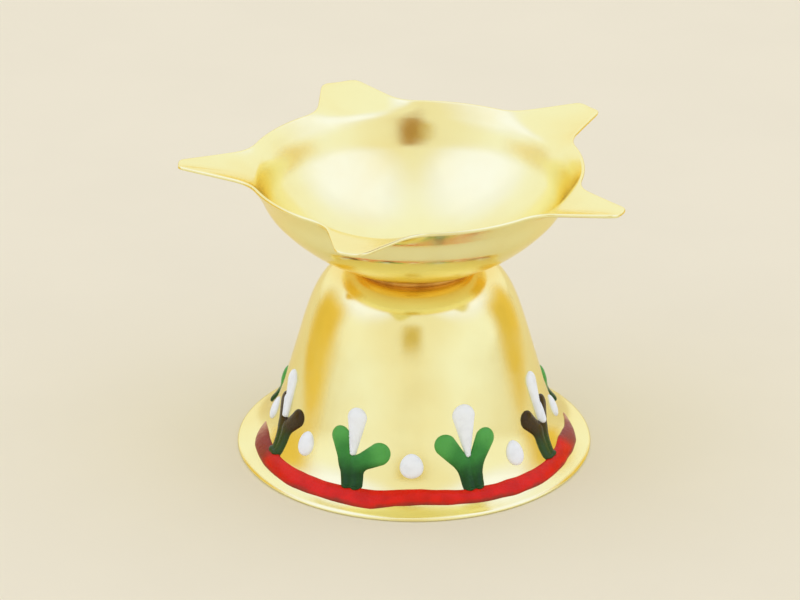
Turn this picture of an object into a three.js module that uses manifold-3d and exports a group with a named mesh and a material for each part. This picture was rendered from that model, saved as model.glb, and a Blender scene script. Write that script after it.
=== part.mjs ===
// Enamelled brass diya: a five-beaked oil bowl on a bell-shaped stand, both made of sheet.
// A stud brazed under the bowl goes down through the crown of the stand, and a washer and
// a nut inside the hollow clamp the two together. Coloured enamel is laid on the bell by
// hand: a red band on the brim, in two strokes, and above it green sprigs, with a white
// petal over each and a white drop between neighbours.
// Millimetres, +Z up. The origin is the bottom centre of the bounding box.

import * as THREE from "three";
import { mergeVertices } from "three/addons/utils/BufferGeometryUtils.js";
import Module from "manifold-3d";

const wasm = await Module();
wasm.setup();

// Sheet thicknesses and fits
const BOWL_SHEET = 0.6;
const STAND_SHEET = 0.7;
const SEAT_GAP = 0.05; // between flat faces that are clamped together
const THREAD_GAP = 0.05; // between the stud and the bore of the nut
const HOLE_CLEARANCE = 0.3; // round the root of the stud, in the crown of the stand

// Stand, measured on its outer face
const STAND_HEIGHT = 33.15;
const FOOT_RADIUS = 30;
const FOOT_LAND = 1; // width of the flat ring that it stands on
const BRIM_EDGE = 0.5; // height of the brim's outer edge
const BRIM_SLOPE = 20; // degrees, where the brim ends
const FLARE_FULLNESS = 0.42; // share of the chord that each handle of its curve takes
const WAIST_RADIUS = 22.1; // where the flare runs into the cone
const WAIST_HEIGHT = 10.3;
const SHOULDER_RADIUS = 18.8; // where the cone turns in to the crown
const SHOULDER_HEIGHT = 21.8;
const SHOULDER_FULLNESS = 0.45; // the same share for its curve
const CROWN_RADIUS = 8; // flat top that carries the bowl

// Bowl, measured on its inner face, with heights above the underside of its floor
const BOWL_HEIGHT = 17.4;
const FLOOR_RADIUS = 8;
const WALL_ARC_RADIUS = 30.5;
const RIM_RADIUS = 27.8;
const WALL_ARC_INSET = 4.5; // from the rim in to the end of the round part of the wall
const WALL_TOP_INSET = 1.95;
const WALL_TOP_DROP = 2.4; // below the rim
const FOLD_INSET = 1; // where wall and lip would meet in a sharp fold
const FOLD_DROP = 0.95;

// Beaks, which hold the wicks. Widths are between the corners of the tip and of the root,
// before these are rounded.
const BEAK_LENGTH = 10.6; // from the rim to the tip
const BEAK_TIP_WIDTH = 4.4;
const BEAK_ROOT_WIDTH = 14.4;
const BEAK_RISE = 0.7; // of the tip above the rim
const BEAK_ROOT_FILLET = 3.4; // length that the fillet takes from each side
const BEAK_TIP_ROUNDING = 0.32; // share of the tip's width
const BEAK_TIP_DIP = 0.2; // of the channel below the corners of the tip

// Each beak is drawn out by hand: degrees round from +X, then its share of those three sizes
const BEAKS = [
  { angle: 36, length: 1, tip: 1.09, root: 1.083 },
  { angle: 108, length: 0.934, tip: 1.36, root: 1.056 },
  { angle: 179, length: 1.047, tip: 0.68, root: 0.972 },
  { angle: 252, length: 0.953, tip: 1.05, root: 1 },
  { angle: 325.5, length: 1.057, tip: 0.82, root: 0.903 },
];

// Stud, washer and nut
const STUD_RADIUS = 2;
const STUD_COVE = 0.9; // brazed fillet at its root
const STUD_CHAMFER = 0.4;
const STUD_PROUD = 1.5; // past the nut
const WASHER_RADIUS = 4.5;
const WASHER_BORE = 2.15;
const WASHER_THICKNESS = 0.8;
const NUT_ACROSS_FLATS = 7;
const NUT_THICKNESS = 3.2;
const NUT_CHAMFER = 0.55;

// Enamel, with slants measured up along the sheet from the edge of the brim
const ENAMEL_GAP = 0.1; // under every stroke
const ENAMEL_EDGE = 0.12; // height of its steep outer edge
const BAND_SLANT = 3.45;
const BAND_WIDTH = 3;
const BAND_THICKNESS = 0.45;
const BAND_WANDER = 0.2; // of the brush, up and down
const BAND_TIP = 0.25; // share of the width left where a stroke ends
const BAND_TURN_IN = 1.6; // rise of a stroke at its ends
const BAND_TAPER = 14; // degrees over which it narrows and turns in
const STROKE_GAP = 0.25; // between a sprig and the band
const SPRIG_THICKNESS = 0.6;
const STEM_WIDTH = 3.7;
const LEAF_WIDTH = 3.5;
const LEAF_NECK = 2.8; // width of a leaf where it leaves the stem
const STEM_HEIGHT = 3.4; // from the band to the fork
const LEAF_LENGTH = 4.8; // from the fork to the middle of the leaf's round end
const PETAL_RADIUS = 1.8;
const PETAL_LENGTH = 5.4; // from the middle of its round end down to its point
const PETAL_THICKNESS = 0.7;
const DROP_SLANT = 9.3;
const DROP_WIDTH = 3.7;
const DROP_HEIGHT = 4.1;
const DROP_THICKNESS = 0.8;

// The band is laid in two strokes, the long one round the front: degrees round from +X
const BAND_STROKES = [
  { name: "red_band", from: -179, to: 5 },
  { name: "red_band_back", from: 36, to: 139 },
];

// Where the hand laid each sprig: degrees round from +X at its fork, then the lean from
// upright of its stem, leaves and petal, and the shares of the usual lengths, leaves first
const SPRIGS = [
  { angle: -157.4, stem: 7, left: 50, right: 34, petal: 24, lengths: [0.9, 0.8, 1.2] },
  { angle: -118.4, stem: 14, left: 36, right: 60, petal: 2, lengths: [1, 1, 1] },
  { angle: -69.7, stem: -1, left: 43, right: 43, petal: 0, lengths: [1.05, 1.05, 1] },
  { angle: -28.3, stem: -7, left: 44, right: 48, petal: -3, lengths: [0.82, 0.82, 1.2] },
  { angle: 20, stem: 2, left: 43, right: 50, petal: 3, lengths: [1.05, 1, 1] },
  { angle: 64, stem: -5, left: 46, right: 44, petal: -1, lengths: [1, 1.08, 1] },
  { angle: 110, stem: 3, left: 42, right: 48, petal: -2, lengths: [1.08, 0.98, 1] },
  { angle: 155, stem: 4, left: 48, right: 46, petal: 2, lengths: [1, 1.05, 1] },
];
const DROP_ANGLES = [-142.5, -93.5, -47.8, -4, 41, 87, 133, -179];

// Fineness of the curved surfaces
const STAND_SEGMENTS = 60;
const BAND_STEP = 4; // degrees
const STAND_CURVE_STEPS = 7;
const WALL_ARC_STEPS = 4;
const WALL_TOP_STEPS = 2;
const LIP_STEPS = 5;
const CORNER_STEPS = 2;
const RIM_STEPS = 2;
const ROUND_SEGMENTS = 24;

const { degToRad } = THREE.MathUtils;
const bowlSeat = STAND_HEIGHT + SEAT_GAP;
const crownUnderside = STAND_HEIGHT - STAND_SHEET;
const washerBottom = crownUnderside - SEAT_GAP - WASHER_THICKNESS;
const nutBottom = washerBottom - SEAT_GAP - NUT_THICKNESS;

const brass = new THREE.MeshStandardMaterial({ color: 0xe8d27a, roughness: 0.22, metalness: 1 });
const hardwareBrass = new THREE.MeshStandardMaterial({ color: 0xc9a94e, roughness: 0.4, metalness: 1 });
const redEnamel = new THREE.MeshStandardMaterial({ color: 0xcf2018, roughness: 0.25, metalness: 0 });
const greenEnamel = new THREE.MeshStandardMaterial({ color: 0x1f7a35, roughness: 0.25, metalness: 0 });
const whiteEnamel = new THREE.MeshStandardMaterial({ color: 0xf2f2ee, roughness: 0.25, metalness: 0 });

function polar(radius, angle) {
  return new THREE.Vector2(Math.cos(angle), Math.sin(angle)).multiplyScalar(radius);
}

// A smooth curve that leaves one point and arrives at another along the given directions.
function easeCurve(from, leaving, to, arriving, share = 1 / 3) {
  const handle = from.distanceTo(to) * share;
  const first = from.clone().addScaledVector(leaving, handle);
  const second = to.clone().addScaledVector(arriving, -handle);
  return new THREE.CubicBezierCurve(from, first, second, to);
}

// A closed surface through rings of points that turn anticlockwise about the way the first
// ones face. With two poles the ends close on them, and without any the last ring joins
// the first.
function loft(rings, poles = []) {
  const size = rings[0].length;
  const points = [...rings.flat(), ...poles];
  const faces = [];
  const bands = poles.length ? rings.length - 1 : rings.length;
  for (let band = 0; band < bands; band++) {
    const here = band * size;
    const there = ((band + 1) % rings.length) * size;
    for (let i = 0; i < size; i++) {
      const next = (i + 1) % size;
      faces.push(here + i, there + i, there + next, here + i, there + next, here + next);
    }
  }
  if (poles.length) {
    const start = rings.length * size;
    const last = start - size;
    for (let i = 0; i < size; i++) {
      const next = (i + 1) % size;
      faces.push(start, i, next, start + 1, last + next, last + i);
    }
  }
  const geometry = new THREE.BufferGeometry().setFromPoints(points).setIndex(faces);
  geometry.computeVertexNormals();
  return geometry;
}

// A closed profile of (radius, height) points turned about the vertical axis.
function turned(profile, segments) {
  const closed = profile[0].x === 0 ? profile : [...profile, profile[0].clone()];
  return new THREE.LatheGeometry(closed, segments).rotateX(Math.PI / 2);
}

function solidOf(geometry) {
  const bare = geometry.clone();
  bare.deleteAttribute("normal");
  bare.deleteAttribute("uv");
  const merged = mergeVertices(bare);
  const vertProperties = merged.attributes.position.array;
  const triVerts = new Uint32Array(merged.index.array);
  return new wasm.Manifold(new wasm.Mesh({ numProp: 3, vertProperties, triVerts }));
}

function geometryOf(solid) {
  const { vertProperties, triVerts } = solid.getMesh();
  const geometry = new THREE.BufferGeometry();
  geometry.setAttribute("position", new THREE.BufferAttribute(vertProperties, 3));
  geometry.setIndex(new THREE.BufferAttribute(triVerts, 1));
  geometry.computeVertexNormals();
  return geometry;
}

function named(name, geometry, material) {
  const mesh = new THREE.Mesh(geometry, material);
  mesh.name = name;
  return mesh;
}

// Outer face of the bell, from the edge of the brim up to the flat crown
function bellProfile() {
  const brim = new THREE.Vector2(FOOT_RADIUS, BRIM_EDGE);
  const waist = new THREE.Vector2(WAIST_RADIUS, WAIST_HEIGHT);
  const shoulder = new THREE.Vector2(SHOULDER_RADIUS, SHOULDER_HEIGHT);
  const crown = new THREE.Vector2(CROWN_RADIUS, STAND_HEIGHT);
  const upBrim = polar(1, Math.PI - degToRad(BRIM_SLOPE));
  const upCone = shoulder.clone().sub(waist).normalize();
  const inward = new THREE.Vector2(-1, 0);
  const profile = new THREE.CurvePath();
  profile.add(easeCurve(brim, upBrim, waist, upCone, FLARE_FULLNESS));
  profile.add(new THREE.LineCurve(waist, shoulder));
  profile.add(easeCurve(shoulder, upCone, crown, inward, SHOULDER_FULLNESS));
  return profile;
}

const bell = bellProfile();
const bellLength = bell.getLength();

function standGeometry() {
  const outer = [];
  const inner = [];
  bell.curves.forEach((curve, index) => {
    const steps = curve.isLineCurve ? 1 : STAND_CURVE_STEPS;
    for (let step = index ? 1 : 0; step <= steps; step++) {
      const point = curve.getPoint(step / steps);
      const along = curve.getTangent(step / steps);
      const inside = new THREE.Vector2(-along.y, along.x).multiplyScalar(STAND_SHEET).add(point);
      outer.push(point);
      if (inside.x < FOOT_RADIUS - FOOT_LAND) inner.push(inside);
    }
  });
  const hole = STUD_RADIUS + STUD_COVE + HOLE_CLEARANCE;
  return turned(
    [
      new THREE.Vector2(FOOT_RADIUS, 0),
      ...outer,
      new THREE.Vector2(hole, STAND_HEIGHT),
      new THREE.Vector2(hole, crownUnderside),
      ...inner.reverse(),
      new THREE.Vector2(FOOT_RADIUS - FOOT_LAND, 0),
    ],
    STAND_SEGMENTS,
  );
}

// Half of a beak's outline seen from above, from the middle of its tip to halfway to the
// next beak, for a beak along +X
function halfBeakOutline({ length, tip: tipShare, root: rootShare }, halfway) {
  const reach = RIM_RADIUS + BEAK_LENGTH * length;
  const tipWidth = BEAK_TIP_WIDTH * tipShare;
  const rootWidth = BEAK_ROOT_WIDTH * rootShare;
  const rootAngle = Math.asin(rootWidth / 2 / RIM_RADIUS);
  const root = polar(RIM_RADIUS, rootAngle);
  const tip = new THREE.Vector2(reach, tipWidth / 2);
  const rounding = tipWidth * BEAK_TIP_ROUNDING;
  const side = root.clone().sub(tip).normalize();
  const tipStart = new THREE.Vector2(reach, tip.y - rounding);
  const tipEnd = tip.clone().addScaledVector(side, rounding);
  const filletStart = root.clone().addScaledVector(side, -BEAK_ROOT_FILLET);
  const rimStart = rootAngle + BEAK_ROOT_FILLET / RIM_RADIUS;
  const filletEnd = polar(RIM_RADIUS, rimStart);
  const points = [new THREE.Vector2(reach, 0)];
  points.push(...new THREE.QuadraticBezierCurve(tipStart, tip, tipEnd).getPoints(CORNER_STEPS));
  points.push(tipEnd.clone().lerp(filletStart, 0.5));
  points.push(...new THREE.QuadraticBezierCurve(filletStart, root, filletEnd).getPoints(CORNER_STEPS));
  for (let step = 1; step <= RIM_STEPS; step++)
    points.push(polar(RIM_RADIUS, THREE.MathUtils.lerp(rimStart, halfway, step / RIM_STEPS)));
  return points;
}

// Every point of the bowl's edge, anticlockwise from above: its angle, its distance from
// the axis and its height
function bowlEdge() {
  const edge = [];
  BEAKS.forEach((beak, index) => {
    const before = BEAKS.at(index - 1).angle;
    const after = BEAKS[(index + 1) % BEAKS.length].angle;
    const halfTurn = (from, to) => degToRad(THREE.MathUtils.euclideanModulo(to - from, 360) / 2);
    const left = halfBeakOutline(beak, halfTurn(beak.angle, after));
    const right = halfBeakOutline(beak, halfTurn(before, beak.angle)).slice(1, -1).reverse();
    const outline = [...right.map(({ x, y }) => new THREE.Vector2(x, -y)), ...left];
    for (const point of outline) {
      const reach = point.length();
      const share = Math.max(0, (reach - RIM_RADIUS) / (BEAK_LENGTH * beak.length));
      const across = Math.min(1, Math.abs(point.y) / ((BEAK_TIP_WIDTH * beak.tip) / 2));
      const height = BOWL_HEIGHT + share * (BEAK_RISE - BEAK_TIP_DIP * (1 - across ** 2));
      edge.push({ angle: degToRad(beak.angle) + Math.atan2(point.y, point.x), reach, height });
    }
  });
  return edge;
}

// Inner face of the wall, from the edge of the floor to where the lip begins
function wallPoints(wallTop, fold) {
  const arcCentre = BOWL_SHEET + Math.sqrt(WALL_ARC_RADIUS ** 2 - FLOOR_RADIUS ** 2);
  const arcAngle = (radius) => Math.asin(radius / WALL_ARC_RADIUS) - Math.PI / 2;
  const start = arcAngle(FLOOR_RADIUS);
  const end = arcAngle(RIM_RADIUS - WALL_ARC_INSET);
  const arc = new THREE.EllipseCurve(0, arcCentre, WALL_ARC_RADIUS, WALL_ARC_RADIUS, start, end);
  const toFold = fold.clone().sub(wallTop).normalize();
  const upper = easeCurve(arc.getPoint(1), polar(1, end + Math.PI / 2), wallTop, toFold);
  return [...arc.getPoints(WALL_ARC_STEPS), ...upper.getPoints(WALL_TOP_STEPS).slice(1)];
}

// The bowl is one sheet: a round wall whose lip is drawn out into beaks. Each column of
// points runs from the floor up the wall and out to one point of the edge, and the
// underside is the same net moved through the sheet.
function bowlGeometry() {
  const fold = new THREE.Vector2(RIM_RADIUS - FOLD_INSET, BOWL_HEIGHT - FOLD_DROP);
  const wallTop = new THREE.Vector2(RIM_RADIUS - WALL_TOP_INSET, BOWL_HEIGHT - WALL_TOP_DROP);
  const wall = wallPoints(wallTop, fold);
  const columns = bowlEdge().map(({ angle, reach, height }) => {
    const end = new THREE.Vector2(reach, height);
    const lip = new THREE.CubicBezierCurve(
      wallTop,
      wallTop.clone().lerp(fold, 0.8),
      end.clone().lerp(fold, 0.95),
      end,
    );
    const profile = [...wall, ...lip.getPoints(LIP_STEPS).slice(1)];
    return profile.map(
      ({ x, y }) => new THREE.Vector3(x * Math.cos(angle), x * Math.sin(angle), y),
    );
  });
  const ringCount = columns[0].length;
  const inside = [];
  const underside = [];
  for (let ring = 0; ring < ringCount; ring++) {
    inside.push(columns.map((column) => column[ring]));
    underside.push(
      columns.map((column, index) => {
        const before = columns[(index + columns.length - 1) % columns.length][ring];
        const after = columns[(index + 1) % columns.length][ring];
        const within = column[Math.max(ring - 1, 0)];
        const beyond = column[Math.min(ring + 1, ringCount - 1)];
        const outward = beyond.clone().sub(within);
        const normal = outward.cross(after.clone().sub(before)).normalize();
        if (ring === 0) normal.set(0, 0, 1);
        return column[ring].clone().addScaledVector(normal, -BOWL_SHEET);
      }),
    );
  }
  const poles = [new THREE.Vector3(0, 0, BOWL_SHEET), new THREE.Vector3(0, 0, 0)];
  return loft([...inside, ...underside.reverse()], poles);
}

// Threadless shank with a brazed cove at the top, where it meets the bowl
function studGeometry() {
  const top = bowlSeat - SEAT_GAP;
  const bottom = nutBottom - STUD_PROUD;
  const coveCentre = new THREE.Vector2(STUD_RADIUS + STUD_COVE, top - STUD_COVE);
  const cove = new THREE.EllipseCurve(
    coveCentre.x,
    coveCentre.y,
    STUD_COVE,
    STUD_COVE,
    Math.PI,
    Math.PI / 2,
    true,
  );
  return turned(
    [
      new THREE.Vector2(0, bottom),
      new THREE.Vector2(STUD_RADIUS - STUD_CHAMFER, bottom),
      new THREE.Vector2(STUD_RADIUS, bottom + STUD_CHAMFER),
      ...cove.getPoints(4),
      new THREE.Vector2(0, top),
    ],
    ROUND_SEGMENTS,
  );
}

function washerGeometry() {
  const top = washerBottom + WASHER_THICKNESS;
  return turned(
    [
      new THREE.Vector2(WASHER_BORE, washerBottom),
      new THREE.Vector2(WASHER_RADIUS, washerBottom),
      new THREE.Vector2(WASHER_RADIUS, top),
      new THREE.Vector2(WASHER_BORE, top),
    ],
    ROUND_SEGMENTS,
  );
}

// Hexagon nut with its corners turned off on both faces
function nutGeometry() {
  const cornerRadius = NUT_ACROSS_FLATS / Math.sqrt(3);
  const faceRadius = NUT_ACROSS_FLATS / 2;
  const middle = nutBottom + NUT_THICKNESS / 2;
  const hexagon = new THREE.CylinderGeometry(cornerRadius, cornerRadius, NUT_THICKNESS, 6);
  const bore = new THREE.CylinderGeometry(1, 1, 2 * NUT_THICKNESS, ROUND_SEGMENTS);
  const boreRadius = STUD_RADIUS + THREAD_GAP;
  bore.scale(boreRadius, 1, boreRadius);
  for (const geometry of [hexagon, bore]) geometry.rotateX(Math.PI / 2).translate(0, 0, middle);
  const corners = turned(
    [
      new THREE.Vector2(0, nutBottom),
      new THREE.Vector2(faceRadius, nutBottom),
      new THREE.Vector2(cornerRadius, nutBottom + NUT_CHAMFER),
      new THREE.Vector2(cornerRadius, nutBottom + NUT_THICKNESS - NUT_CHAMFER),
      new THREE.Vector2(faceRadius, nutBottom + NUT_THICKNESS),
      new THREE.Vector2(0, nutBottom + NUT_THICKNESS),
    ],
    ROUND_SEGMENTS,
  );
  return geometryOf(solidOf(hexagon).intersect(solidOf(corners)).subtract(solidOf(bore)));
}

// A place on the bell: across is measured sideways from the given angle, slant up along
// the sheet, and lift straight out of it.
function onBell(angle, across, slant, lift) {
  const share = THREE.MathUtils.clamp(slant / bellLength, 0, 1);
  const point = bell.getPoint(share);
  const along = bell.getTangent(share);
  const radius = point.x + along.y * lift;
  const turn = angle + across / point.x;
  return new THREE.Vector3(
    radius * Math.cos(turn),
    radius * Math.sin(turn),
    point.y - along.x * lift,
  );
}

// A domed spot of enamel. Its outline is a star-shaped loop about its own centre, and it
// lies on the bell with the same gap under all of it.
function enamelSpot(outline, angle, slant, thickness, aside = 0) {
  const place = (x, y, lift) => onBell(angle, aside + x, slant + y, ENAMEL_GAP + lift);
  const ring = (share, lift) => outline.map(({ x, y }) => place(x * share, y * share, lift));
  const dome = (share) => ENAMEL_EDGE + thickness * Math.sqrt(1 - share ** 2);
  return loft(
    [ring(0.5, dome(0.5)), ring(0.82, dome(0.82)), ring(1, ENAMEL_EDGE), ring(1, 0), ring(0.5, 0)],
    [place(0, 0, dome(0)), place(0, 0, 0)],
  );
}

// From a fork to the corner between two of its strokes, half their turn from each
function cornerReach(width, halfTurn) {
  return width / 2 / Math.sin(halfTurn);
}

// Outline of strokes that run out from one fork, each with a round end and its own width
// there and at the fork
function forkOutline(strokes) {
  const outline = [];
  strokes.forEach(({ direction, length, width, neck }, index) => {
    const next = strokes[(index + 1) % strokes.length];
    const along = polar(1, direction);
    const across = new THREE.Vector2(-along.y, along.x);
    const halfway = along.clone().multiplyScalar(length / 2);
    const flank = (side) => halfway.clone().addScaledVector(across, (side * (neck + width)) / 4);
    const hasFlanks = length > width;
    if (hasFlanks) outline.push(flank(-1));
    for (let step = 0; step <= 4; step++) {
      const round = polar(width / 2, direction + (step / 4 - 0.5) * Math.PI);
      outline.push(round.addScaledVector(along, length));
    }
    if (hasFlanks) outline.push(flank(1));
    const halfTurn = THREE.MathUtils.euclideanModulo(next.direction - direction, 2 * Math.PI) / 2;
    outline.push(polar(cornerReach(Math.max(neck, next.neck), halfTurn), direction + halfTurn));
  });
  return outline;
}

const bandTop = BAND_SLANT + BAND_WIDTH / 2 + BAND_WANDER;
const forkSlant = (stemShare) => bandTop + STROKE_GAP + STEM_HEIGHT * stemShare;

function sprigGeometry({ angle, stem, left, right, lengths }) {
  const upright = Math.PI / 2;
  const [leftShare, rightShare, stemShare] = lengths;
  const leaf = { width: LEAF_WIDTH, neck: LEAF_NECK };
  const strokes = [
    {
      direction: degToRad(stem) - upright,
      length: STEM_HEIGHT * stemShare - STEM_WIDTH / 2,
      width: STEM_WIDTH,
      neck: STEM_WIDTH,
    },
    { direction: upright - degToRad(right), length: LEAF_LENGTH * rightShare, ...leaf },
    { direction: upright + degToRad(left), length: LEAF_LENGTH * leftShare, ...leaf },
  ];
  return enamelSpot(forkOutline(strokes), degToRad(angle), forkSlant(stemShare), SPRIG_THICKNESS);
}

// A teardrop whose point stands over the corner between the leaves of its sprig
function petalGeometry({ angle, left, right, petal, lengths }) {
  const flankAngle = Math.acos(PETAL_RADIUS / PETAL_LENGTH);
  const steps = 9;
  const upward = Math.PI / 2 + degToRad(petal);
  const cornerAway = cornerReach(LEAF_NECK, degToRad(left + right) / 2);
  const corner = polar(cornerAway, Math.PI / 2 + degToRad(left - right) / 2);
  const middle = polar(PETAL_LENGTH, upward).add(corner);
  middle.y += STROKE_GAP;
  const outline = [polar(-PETAL_LENGTH, upward)];
  const sweep = 2 * (Math.PI - flankAngle);
  for (let step = 0; step <= steps; step++)
    outline.push(polar(PETAL_RADIUS, upward + Math.PI + flankAngle + (sweep * step) / steps));
  const halfway = (a, b) => a.clone().lerp(b, 0.5);
  outline.splice(1, 0, halfway(outline[0], outline[1]));
  outline.push(halfway(outline.at(-1), outline[0]));
  const slant = forkSlant(lengths[2]) + middle.y;
  return enamelSpot(outline, degToRad(angle), slant, PETAL_THICKNESS, middle.x);
}

function dropGeometry(angle) {
  const outline = new THREE.EllipseCurve(0, 0, DROP_WIDTH / 2, DROP_HEIGHT / 2).getPoints(12).slice(1);
  return enamelSpot(outline, degToRad(angle), DROP_SLANT, DROP_THICKNESS);
}

// One stroke along the brim, which wanders a little up and down, then narrows and turns in
// at its ends
function bandGeometry({ from, to }) {
  const place = (angle, share, lift) => {
    const fromEnd = Math.min(1, Math.min(angle - from, to - angle) / BAND_TAPER);
    const fullness = THREE.MathUtils.smoothstep(fromEnd, 0, 1);
    const turn = degToRad(angle);
    const wander = BAND_WANDER * (0.6 * Math.sin(5 * turn) + 0.4 * Math.sin(8 * turn));
    const middle = BAND_SLANT + wander + BAND_TURN_IN * (1 - fullness);
    const width = BAND_WIDTH * THREE.MathUtils.lerp(BAND_TIP, 1, fullness);
    return onBell(turn, 0, middle + (share * width) / 2, ENAMEL_GAP + lift);
  };
  const domed = (share) => ENAMEL_EDGE + BAND_THICKNESS * Math.sqrt(1 - share ** 2);
  const steps = Math.round((to - from) / BAND_STEP);
  const sections = [];
  for (let step = 0; step <= steps; step++) {
    const angle = THREE.MathUtils.lerp(from, to, step / steps);
    sections.push([
      ...[-1, -0.7, 0, 0.7, 1].map((share) => place(angle, share, domed(share))),
      ...[1, 0, -1].map((share) => place(angle, share, 0)),
    ]);
  }
  return loft(sections, [place(from, 0, ENAMEL_EDGE), place(to, 0, ENAMEL_EDGE)]);
}

// The whole lamp about its own axis, then moved so that the origin is the bottom centre of
// its bounding box: five beaks reach further one way than the other.
const diya = new THREE.Group();

const bowl = named("bowl", bowlGeometry(), brass);
bowl.position.z = bowlSeat;
diya.add(bowl);
diya.add(named("stand", standGeometry(), brass));
diya.add(named("stud", studGeometry(), hardwareBrass));
diya.add(named("washer", washerGeometry(), hardwareBrass));
diya.add(named("nut", nutGeometry(), hardwareBrass));

const enamel = new THREE.Group();
for (const stroke of BAND_STROKES) enamel.add(named(stroke.name, bandGeometry(stroke), redEnamel));
SPRIGS.forEach((sprig, index) => {
  enamel.add(named(`sprig_${index + 1}`, sprigGeometry(sprig), greenEnamel));
  enamel.add(named(`petal_${index + 1}`, petalGeometry(sprig), whiteEnamel));
});
DROP_ANGLES.forEach((angle, index) => {
  enamel.add(named(`drop_${index + 1}`, dropGeometry(angle), whiteEnamel));
});
diya.add(enamel);

const box = new THREE.Box3().setFromObject(diya);
const middle = box.getCenter(new THREE.Vector3());
diya.position.set(-middle.x, -middle.y, -box.min.z);

export default diya;
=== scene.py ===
"""Enamelled diya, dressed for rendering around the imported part.

Metres, +Z up, in the part's own frame. The lamp's axis stands a little off the origin, so
every piece is shaped about the middle of the stand.
"""

import math

import bpy
import numpy as np
from bpy.props import FloatProperty, FloatVectorProperty, IntProperty, PointerProperty
from bpy.types import Operator, Panel, PropertyGroup
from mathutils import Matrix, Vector, noise


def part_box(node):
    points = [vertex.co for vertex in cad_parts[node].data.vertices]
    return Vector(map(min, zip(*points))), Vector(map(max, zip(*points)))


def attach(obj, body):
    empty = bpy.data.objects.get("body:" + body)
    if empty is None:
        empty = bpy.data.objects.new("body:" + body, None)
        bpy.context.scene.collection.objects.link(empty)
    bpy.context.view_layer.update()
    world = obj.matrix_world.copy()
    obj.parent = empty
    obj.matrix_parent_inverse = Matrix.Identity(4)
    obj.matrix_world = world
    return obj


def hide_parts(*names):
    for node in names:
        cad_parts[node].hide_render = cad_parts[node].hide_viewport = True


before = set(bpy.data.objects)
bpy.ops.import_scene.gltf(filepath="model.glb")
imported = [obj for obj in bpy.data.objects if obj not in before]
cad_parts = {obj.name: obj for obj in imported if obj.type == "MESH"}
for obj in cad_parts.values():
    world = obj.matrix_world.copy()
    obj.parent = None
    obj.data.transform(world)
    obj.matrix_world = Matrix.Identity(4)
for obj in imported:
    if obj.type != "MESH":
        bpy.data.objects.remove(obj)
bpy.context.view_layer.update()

bl_info = {
    "name": "Enamelled Diya",
    "version": (1, 0, 0),
    "blender": (4, 5, 0),
    "location": "3D View > Sidebar > Diya",
    "description": "Builds the brass bowl, bell stand, fixings and enamel border of a diya",
    "category": "Add Mesh",
}

MM = 0.001
TAU = 2 * math.pi

stand_low, stand_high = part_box("stand")
AXIS = np.array([(stand_low[0] + stand_high[0]) / 2, (stand_low[1] + stand_high[1]) / 2])
STAND_TOP = stand_high[2]
BOWL_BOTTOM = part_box("bowl")[0][2]

# Bell of the stand, outer face
FOOT_RADIUS = 30 * MM
FOOT_LAND = 1 * MM
BRIM_EDGE = 0.5 * MM
EDGE_SOFTNESS = 0.22 * MM
BRIM_SLOPE = math.radians(20)
FLARE_FULLNESS = 0.42
WAIST = (22.1 * MM, 10.3 * MM)
SHOULDER = (18.8 * MM, 21.8 * MM)
SHOULDER_FULLNESS = 0.45
CROWN_RADIUS = 8 * MM
CROWN_HOLE = 3.2 * MM
JOINT_RADIUS = 10.5 * MM  # reach of the dark amber ring under the bowl, which is painted shade of the gap

# Bowl, inner face, heights above the underside of its floor
BOWL_HEIGHT = 17.4 * MM
FLOOR_RADIUS = 8 * MM
WALL_ARC_RADIUS = 30.5 * MM
RIM_RADIUS = 27.8 * MM
WALL_ARC_INSET = 4.5 * MM
WALL_TOP = (RIM_RADIUS - 1.95 * MM, BOWL_HEIGHT - 2.4 * MM)
FOLD = (RIM_RADIUS - 1 * MM, BOWL_HEIGHT - 0.95 * MM)
BEAK_RISE = 0.7 * MM
BEAK_TIP_DIP = 0.2 * MM
BEAK_ROOT_FILLET = 3.4 * MM
BEAK_TIP_ROUNDING = 0.32

# Each beak: degrees round from +X, reach, width of its tip and of its root, in millimetres
BEAKS = (
    (36, 38.4, 4.8, 15.6),
    (108, 37.7, 6.0, 15.2),
    (179, 38.9, 3.0, 14.0),
    (252, 37.9, 4.6, 14.4),
    (325.5, 39.0, 3.6, 13.0),
)

# Fixing
STUD_RADIUS = 2 * MM
THREAD_PITCH = 0.7 * MM
THREAD_DEPTH = 0.38 * MM
THREAD_RUN_OUT = 0.8 * MM
STUD_CHAMFER = 0.45 * MM
NUT_ACROSS_FLATS = 7 * MM
NUT_BORE = 2.05 * MM
NUT_FACE = 0.94  # round face of the nut, as a share of its width across the flats
NUT_CHAMFER = math.radians(30)
LEAD_IN = 0.3 * MM
WASHER_PLAY = 0.15 * MM
WASHER_SOFTNESS = 0.15 * MM

# The enamel is laid out in millimetres on the sheet: sideways, and up from the brim's edge.
SPRIG_BASE = 5.5
STEM_RADIUS = 1.1
FORK_RADIUS = 1.25
LEAF_ROOT_RADIUS = 1.3
FORK_SPREAD = 0.95
SPRIG_SHOULDER = 1.35  # depth inside a sprig's outline at which it is fully thick
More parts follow.
